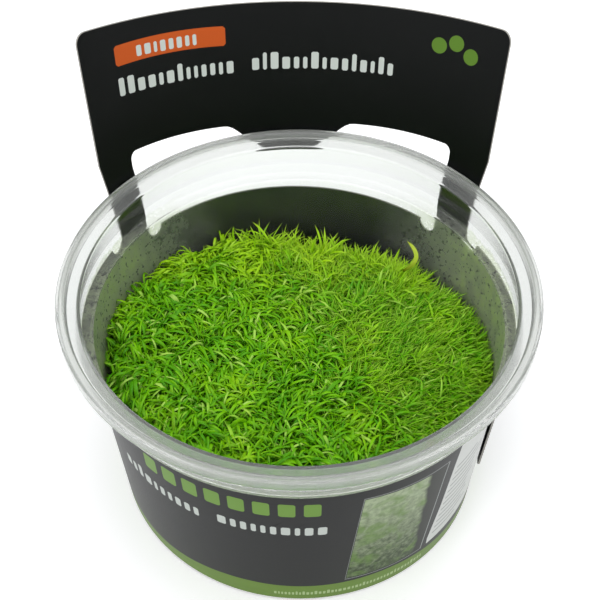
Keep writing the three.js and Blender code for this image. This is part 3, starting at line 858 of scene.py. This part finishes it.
band_outline = [(sheet_start, SLEEVE_BOTTOM), (SEAM_TAB_START, SLEEVE_BOTTOM)] + band_edge
seam_top = [(s, side_top(s) - 0.2) for s in (SEAM_TAB_END, 80, 76, 72)] + [(SEAM_UNDER, SIDE_TOP)]
side_steps = [mix(SIDE_FULL, SIDE_END, share) for share in fall_shares]
left_top = [(-s, side_top(s)) for s in side_steps]
left_top += [(s - 2 * half_round, side_top(s)) for s in reversed(side_steps[1:])]
left_top += [(sheet_start, SIDE_TOP)]
card_outline = (
    band_edge[::-1]
    + [(SEAM_TAB_START, SEAM_TAB_BOTTOM)]
    + seam_corner
    + seam_top
    + right_outline
    + top_edge
    + mirrored(right_outline)
    + left_top
)
window_end = WINDOW_TOP + WINDOW_SLOPE * (WINDOW_HALF_WIDTH - TONGUE_ROOT_HALF_WIDTH)
tongue_shares = [i / TONGUE_STEPS for i in range(TONGUE_STEPS + 1)]
tongue_side = [
    (mix(TONGUE_ROOT_HALF_WIDTH, TONGUE_HALF_WIDTH, share), mix(WINDOW_TOP, TONGUE_END, smooth(0, 1, share)))
    for share in tongue_shares
]
right_window = (
    arc(LEG_INNER - NOTCH_R, SLEEVE_TOP, NOTCH_R, -180, 0, 12)
    + [(WINDOW_HALF_WIDTH, WINDOW_SIDE_TOP)]
    + arc(WINDOW_HALF_WIDTH - WINDOW_CORNER_R, window_end - WINDOW_CORNER_R, WINDOW_CORNER_R, 0, 84, 6)
    + tongue_side
)
card_window = [(s + WINDOW_SHIFT, z) for s, z in right_window + mirrored(right_window)]


def rounded_box(s0, z0, s1, z1, r, steps=1):
    """A box in the flat card, with its corners cut off or, with more steps, rounded."""
    return (
        arc(s1 - r, z0 + r, r, -90, 0, steps)
        + arc(s1 - r, z1 - r, r, 0, 90, steps)
        + arc(s0 + r, z1 - r, r, 90, 180, steps)
        + arc(s0 + r, z0 + r, r, 180, 270, steps)
    )


def under_header_edge(points):
    """Moves points given by their height over the header's top edge to where that edge is."""
    return [(s, header_edge(s) + z) for s, z in points]


WHITE_INK = "#d5dad6"
SOFT_WHITE_INK = "#b4bab4"
ORANGE_INK = "#cf5a1f"
GREEN_INK = "#62882e"
BAND_INK = "#5d7c22"
BAND_PRINT_INK = "#9db37c"
PALE_INK = "#c4c6c2"
GREY_INK = "#8b8f8c"
BLACK_INK = "#060808"
GREEN_SQUARES = 8
SQUARE_PITCH = 5.05
SQUARE_WIDTH = 3.4
SQUARE_HEIGHT = 4.7
INFO_LINES = 12
INFO_LINE_PITCH = 2.1
INFO_LINE_HEIGHT = 0.55
PICTURE_LOW = 8
PICTURE_HIGH = 42
DARK_SIDE_START = -163.2
DARK_SIDE_END = -164.2
DARK_SIDE_WAVER = 2
FLAT_UNIT = 100
CUT_STEP = 1.6
DOT_R = 1.8
DOT_STEPS = 24
CUT_CARD_INDEX = 1
PICTURE_INDEX = 2
prints = []
draw_blocks = random.Random(5)


def add_print(points, ink, inner=False, parent=None):
    """Notes a shape to print on one side of the card, on the bare card or inside an earlier shape."""
    prints.append({"points": points, "ink": ink, "inner": inner, "parent": parent})
    return len(prints) - 1


def block_row(start, end, low, high, tall, ink, inner=False, parent=None):
    """A row of small upright blocks of uneven widths, about a quarter of them taller than the rest."""
    s = start
    while s < end - 0.4 * (high - low):
        width = draw_blocks.uniform(0.3, 0.62) * (high - low)
        top = tall if draw_blocks.random() < 0.25 else high
        foot = low + draw_blocks.uniform(0, 0.05) * (high - low)
        outline = rounded_box(s, foot, min(s + width, end), top, 0.1 * (high - low))
        add_print(under_header_edge(outline) if inner else outline, ink, inner, parent)
        s += width + 0.3 * (high - low)


# The inside of the header, with heights from its top edge: an orange tag with a row of blocks in it, a row of
# blocks in two parts below it, and three green dots.
tag_outline = under_header_edge(rounded_box(-41, -9.2, -14.8, -4.7, 0.5))
tag = add_print(tag_outline, ORANGE_INK, inner=True)
block_row(-35.6, -20.6, -8.2, -5.7, -5.7, WHITE_INK, True, tag)
block_row(-41, -11.4, -15.8, -12.9, -11.8, WHITE_INK, True)
block_row(-9, 23, -15.6, -12.7, -11.5, WHITE_INK, True)
for dot_s, dot_z in ((33.2, -6.6), (37.2, -5.4), (41, -7.6)):
    dot = arc(dot_s, dot_z, DOT_R, 0, 360 - 360 / DOT_STEPS, DOT_STEPS - 1)
    add_print(under_header_edge(dot), GREEN_INK, inner=True)

# The outside: a green band with a row of small blocks in it, two more rows, a row of green squares, a framed
# picture and a pale panel of fine lines, which runs on under the overlap.
band = add_print(band_outline, BAND_INK)
block_row(-168, -131, 2.7, 3.9, 4.3, BAND_PRINT_INK, parent=band)
block_row(-142.5, -118, 29.4, 32.5, 33.7, SOFT_WHITE_INK)
block_row(-115.4, -92, 28.4, 31.5, 32.7, SOFT_WHITE_INK)
for i in range(GREEN_SQUARES):
    square_end = -102.4 - SQUARE_PITCH * i
    square_low = 37 - 0.15 * (GREEN_SQUARES - 1 - i)
    square_top = square_low + SQUARE_HEIGHT
    add_print(rounded_box(square_end - SQUARE_WIDTH, square_low, square_end, square_top, 0.6, 4), GREEN_INK)
frame_corners = [(-170.1, 40), (-167.3, 6.95), (-147.2, 7.9), (-149.6, 41.2)]
frame_line_corners = [(-169.8, 39.8), (-167, 7.2), (-147.3, 8.1), (-149.7, 41)]
picture_corners = [(-169.3, 39.3), (-166.6, 7.7), (-147.5, 8.5), (-149.8, 40.7)]
frame_outline = add_print(frame_corners, GREY_INK)
frame_line = add_print(frame_line_corners, BLACK_INK, parent=frame_outline)
picture = add_print(picture_corners, PALE_INK, parent=frame_line)
info_end = sheet_start + 0.4
info_top = [(s, side_top(s) - 0.3) for s in (-173.5, -180, -187, -194, -201, info_end)]
info = add_print([(info_end, 7.1), (-169, 7.1), (-168.9, 9.4), (-171, 21.6)] + info_top, PALE_INK)
for i in range(INFO_LINES):
    line_low = 10 + INFO_LINE_PITCH * i
    line_top = line_low + INFO_LINE_HEIGHT
    line_start = -169 - 0.14 * line_low
    line_end = line_start - draw_blocks.uniform(8, 14)
    add_print(rounded_box(line_end, line_low, line_start, line_top, 0.15), GREY_INK, parent=info)

# The sheet is cut into small faces so that it can bend: evenly all the way round, and by height closest at
# the legs and the tongue.
cut_count = int((SEAM_TAB_END - sheet_start) / CUT_STEP)
cut_s = [sheet_start + CUT_STEP * (i + 1) for i in range(cut_count)]
cut_z = [6 * i for i in range(1, 7)]
cut_z += [40 + 1.2 * i for i in range(19)]
cut_z += [64.5 + 3 * i for i in range(10)]

bm = bmesh.new()


def flat_loop(points):
    """A closed loop of edges in the flat card, laid out in the plane of X and Y."""
    verts = [bm.verts.new((s, z, 0)) for s, z in points]
    return [bm.edges.new((vert, verts[i - 1])) for i, vert in enumerate(verts)]


# The sheet is turned while it is filled, because the fill fails on many points at one height.
region = bm.faces.layers.int.new("region")
sheet_edges = flat_loop(card_outline) + flat_loop(card_window)
loops = [flat_loop(p["points"]) for p in prints]
bmesh.ops.rotate(bm, verts=bm.verts, cent=(0, 0, 0), matrix=Matrix.Rotation(FILL_TURN, 3, "Z"))
top_level = [
    edge
    for i, (p, loop) in enumerate(zip(prints, loops))
    if p["parent"] is None and i != band
    for edge in loop
]
bmesh.ops.triangle_fill(bm, edges=sheet_edges + top_level, normal=(0, 0, 1))
for face in bm.faces:
    face[region] = -1
for i, loop in enumerate(loops):
    inside = [edge for p, other in zip(prints, loops) if p["parent"] == i for edge in other]
    filled = bmesh.ops.triangle_fill(bm, edges=loop + inside, normal=(0, 0, 1))
    for face in filled["geom"]:
        if isinstance(face, bmesh.types.BMFace):
            face[region] = i
bmesh.ops.rotate(bm, verts=bm.verts, cent=(0, 0, 0), matrix=Matrix.Rotation(-FILL_TURN, 3, "Z"))
bmesh.ops.remove_doubles(bm, verts=bm.verts, dist=0.001)
cuts = [((s, 0, 0), (1, 0, 0)) for s in cut_s] + [((0, z, 0), (0, 1, 0)) for z in cut_z]
for place, across in cuts:
    sheet = bm.verts[:] + bm.edges[:] + bm.faces[:]
    bmesh.ops.bisect_plane(bm, geom=sheet, plane_co=place, plane_no=across)
flat_uv = bm.loops.layers.uv.new("flat")
for face in bm.faces:
    for corner in face.loops:
        corner[flat_uv].uv = corner.vert.co.xy / FLAT_UNIT
inner_faces = set(bm.faces)
outer_side = bmesh.ops.extrude_face_region(bm, geom=bm.faces[:], use_keep_orig=True)["geom"]
outer_faces = {part for part in outer_side if isinstance(part, bmesh.types.BMFace)}
outer_verts = {part for part in outer_side if isinstance(part, bmesh.types.BMVert)}
ink_layer = bm.loops.layers.float_color.new("ink")
for face in bm.faces:
    print_index = face[region]
    ink = BLACK_INK
    if print_index >= 0:
        printed_faces = inner_faces if prints[print_index]["inner"] else outer_faces
        ink = prints[print_index]["ink"] if face in printed_faces else BLACK_INK
    if face in outer_faces and print_index == picture:
        face.material_index = PICTURE_INDEX
    elif face not in outer_faces and face not in inner_faces:
        face.material_index = CUT_CARD_INDEX
    for corner in face.loops:
        corner[ink_layer] = linear(ink)
for vert in bm.verts:
    outward = CARD_THICKNESS if vert in outer_verts else 0
    vert.co = card_point(vert.co.x, vert.co.y, outward) * MM
bmesh.ops.recalc_face_normals(bm, faces=bm.faces)

# Clay-coated card under a satin aqueous varnish: the ink lies flat, the gloss is soft, and the fibres below,
# about 0.4 mm apart, show as a faint unevenness.
printed_card, tree, shader = new_material("coated printed card")
ink = add(tree, "Attribute", attribute_name="ink").outputs["Color"]
flat = add(tree, "UVMap", uv_map="flat").outputs[0]
fibres = add(tree, "TexNoise", {"Vector": flat, "Scale": 260, "Detail": 4}).outputs[0]
fibre_bump = add(tree, "Bump", {"Height": fibres, "Strength": 0.15, "Distance": 0.03 * MM}).outputs[0]
varnish = add(tree, "MapRange", {"Value": fibres, "To Min": 0.3, "To Max": 0.42}).outputs[0]
tree.links.new(ink, shader.inputs["Base Color"])
tree.links.new(varnish, shader.inputs["Roughness"])
tree.links.new(fibre_bump, shader.inputs["Normal"])
shader.inputs["Specular IOR Level"].default_value = 0.17

# The die leaves a pale edge of bare fibre, mottled at about a quarter of a millimetre.
cut_card, tree, shader = new_material("cut card edge")
flat = add(tree, "UVMap", uv_map="flat").outputs[0]
fibres = add(tree, "TexNoise", {"Vector": flat, "Scale": 400}).outputs[0]
edge_colours = add(tree, "MixRGB", {0: fibres, 1: linear("#7f7d78"), 2: linear("#b7b4ac")}).outputs[0]
tree.links.new(edge_colours, shader.inputs["Base Color"])
shader.inputs["Roughness"].default_value = 0.9

# The picture is a mottled green, as of fine leaves out of focus: pale above, darker below and nearly black
# along one side, in patches of 1.4 mm with larger ones of 4.5 mm over them.
printed_picture, tree, shader = new_material("printed picture")
flat = add(tree, "UVMap", uv_map="flat").outputs[0]
flat_s, flat_z, _ = add(tree, "SeparateXYZ", {0: flat}).outputs
mottle = add(tree, "TexNoise", {"Vector": flat, "Scale": 70, "Detail": 7, "Roughness": 0.62}).outputs[0]
leafy = add(tree, "TexNoise", {"Vector": flat, "Scale": 22, "Detail": 5, "Distortion": 0.6}).outputs[0]
low = PICTURE_LOW / FLAT_UNIT
high = PICTURE_HIGH / FLAT_UNIT
paling = add(
    tree,
    "MapRange",
    {"Value": flat_z, "From Min": low, "From Max": high, "To Min": -0.25, "To Max": 0.3},
).outputs[0]
blend = add(tree, "Math", {0: mottle, 1: paling}, operation="ADD").outputs[0]
share = add(tree, "MapRange", {"Value": blend, "From Min": 0.25, "From Max": 0.8}).outputs[0]
greens = add(tree, "MixRGB", {0: share, 1: linear("#2c3d1a"), 2: linear("#98a684")}).outputs[0]
leaf_share = add(
    tree,
    "MapRange",
    {"Value": leafy, "From Min": 0.48, "From Max": 0.66, "To Max": 0.7},
).outputs[0]
leaves = add(tree, "MixRGB", {0: leaf_share, 1: greens, 2: linear("#587a2a")}).outputs[0]
waver = add(
    tree,
    "Math",
    {0: leafy, 1: DARK_SIDE_WAVER / FLAT_UNIT, 2: flat_s},
    operation="MULTIPLY_ADD",
).outputs[0]
dark_side = add(
    tree,
    "MapRange",
    {"Value": waver, "From Min": DARK_SIDE_START / FLAT_UNIT, "From Max": DARK_SIDE_END / FLAT_UNIT},
).outputs[0]
picture_ink = add(tree, "MixRGB", {0: dark_side, 1: leaves, 2: linear("#0c1206")}).outputs[0]
tree.links.new(picture_ink, shader.inputs["Base Color"])
shader.inputs["Roughness"].default_value = 0.35
shader.inputs["Specular IOR Level"].default_value = 0.15

card = new_piece("printed_card", bm, printed_card, cut_card, printed_picture)
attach(card, "root")
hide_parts("card_sleeve")

# Floor and light
# A white table and soft studio light. A large soft box hangs overhead, a smaller one stands in front on the
# left, and the room is pale. The table glows a little, so that it stays white in the shade.
FLOOR_SIZE = 3
FLOOR_GAP = 0.2
LIGHT_AIM = Vector((0, 0, 0.03))

white_board, tree, shader = new_material("white board")
shader.inputs["Base Color"].default_value = linear("#fdfdfd")
shader.inputs["Roughness"].default_value = 0.9
shader.inputs["Emission Color"].default_value = linear("#ffffff")
shader.inputs["Emission Strength"].default_value = 0.28
bm = bmesh.new()
bmesh.ops.create_grid(bm, x_segments=1, y_segments=1, size=FLOOR_SIZE)
bmesh.ops.translate(bm, verts=bm.verts, vec=(0, 0, -FLOOR_GAP * MM))
floor = new_piece("floor", bm, white_board)


def soft_box(name, place, size, power):
    """A square area light that faces the object."""
    light = bpy.data.lights.new(name, "AREA")
    light.size = size
    light.energy = power
    lamp = bpy.data.objects.new(name, light)
    lamp.location = place
    lamp.rotation_euler = (LIGHT_AIM - Vector(place)).to_track_quat("-Z", "Y").to_euler()
    bpy.context.scene.collection.objects.link(lamp)


soft_box("overhead_box", place=(0.0, -0.05, 0.9), size=0.9, power=4.5)
soft_box("front_box", place=(-0.5, -0.7, 0.55), size=0.5, power=1.2)
world = bpy.data.worlds.new("studio")
world.use_nodes = True
room = world.node_tree.nodes["Background"]
room.inputs["Color"].default_value = linear("#f4f6f8")
room.inputs["Strength"].default_value = 0.7
bpy.context.scene.world = world
bpy.context.scene.view_settings.view_transform = "Standard"
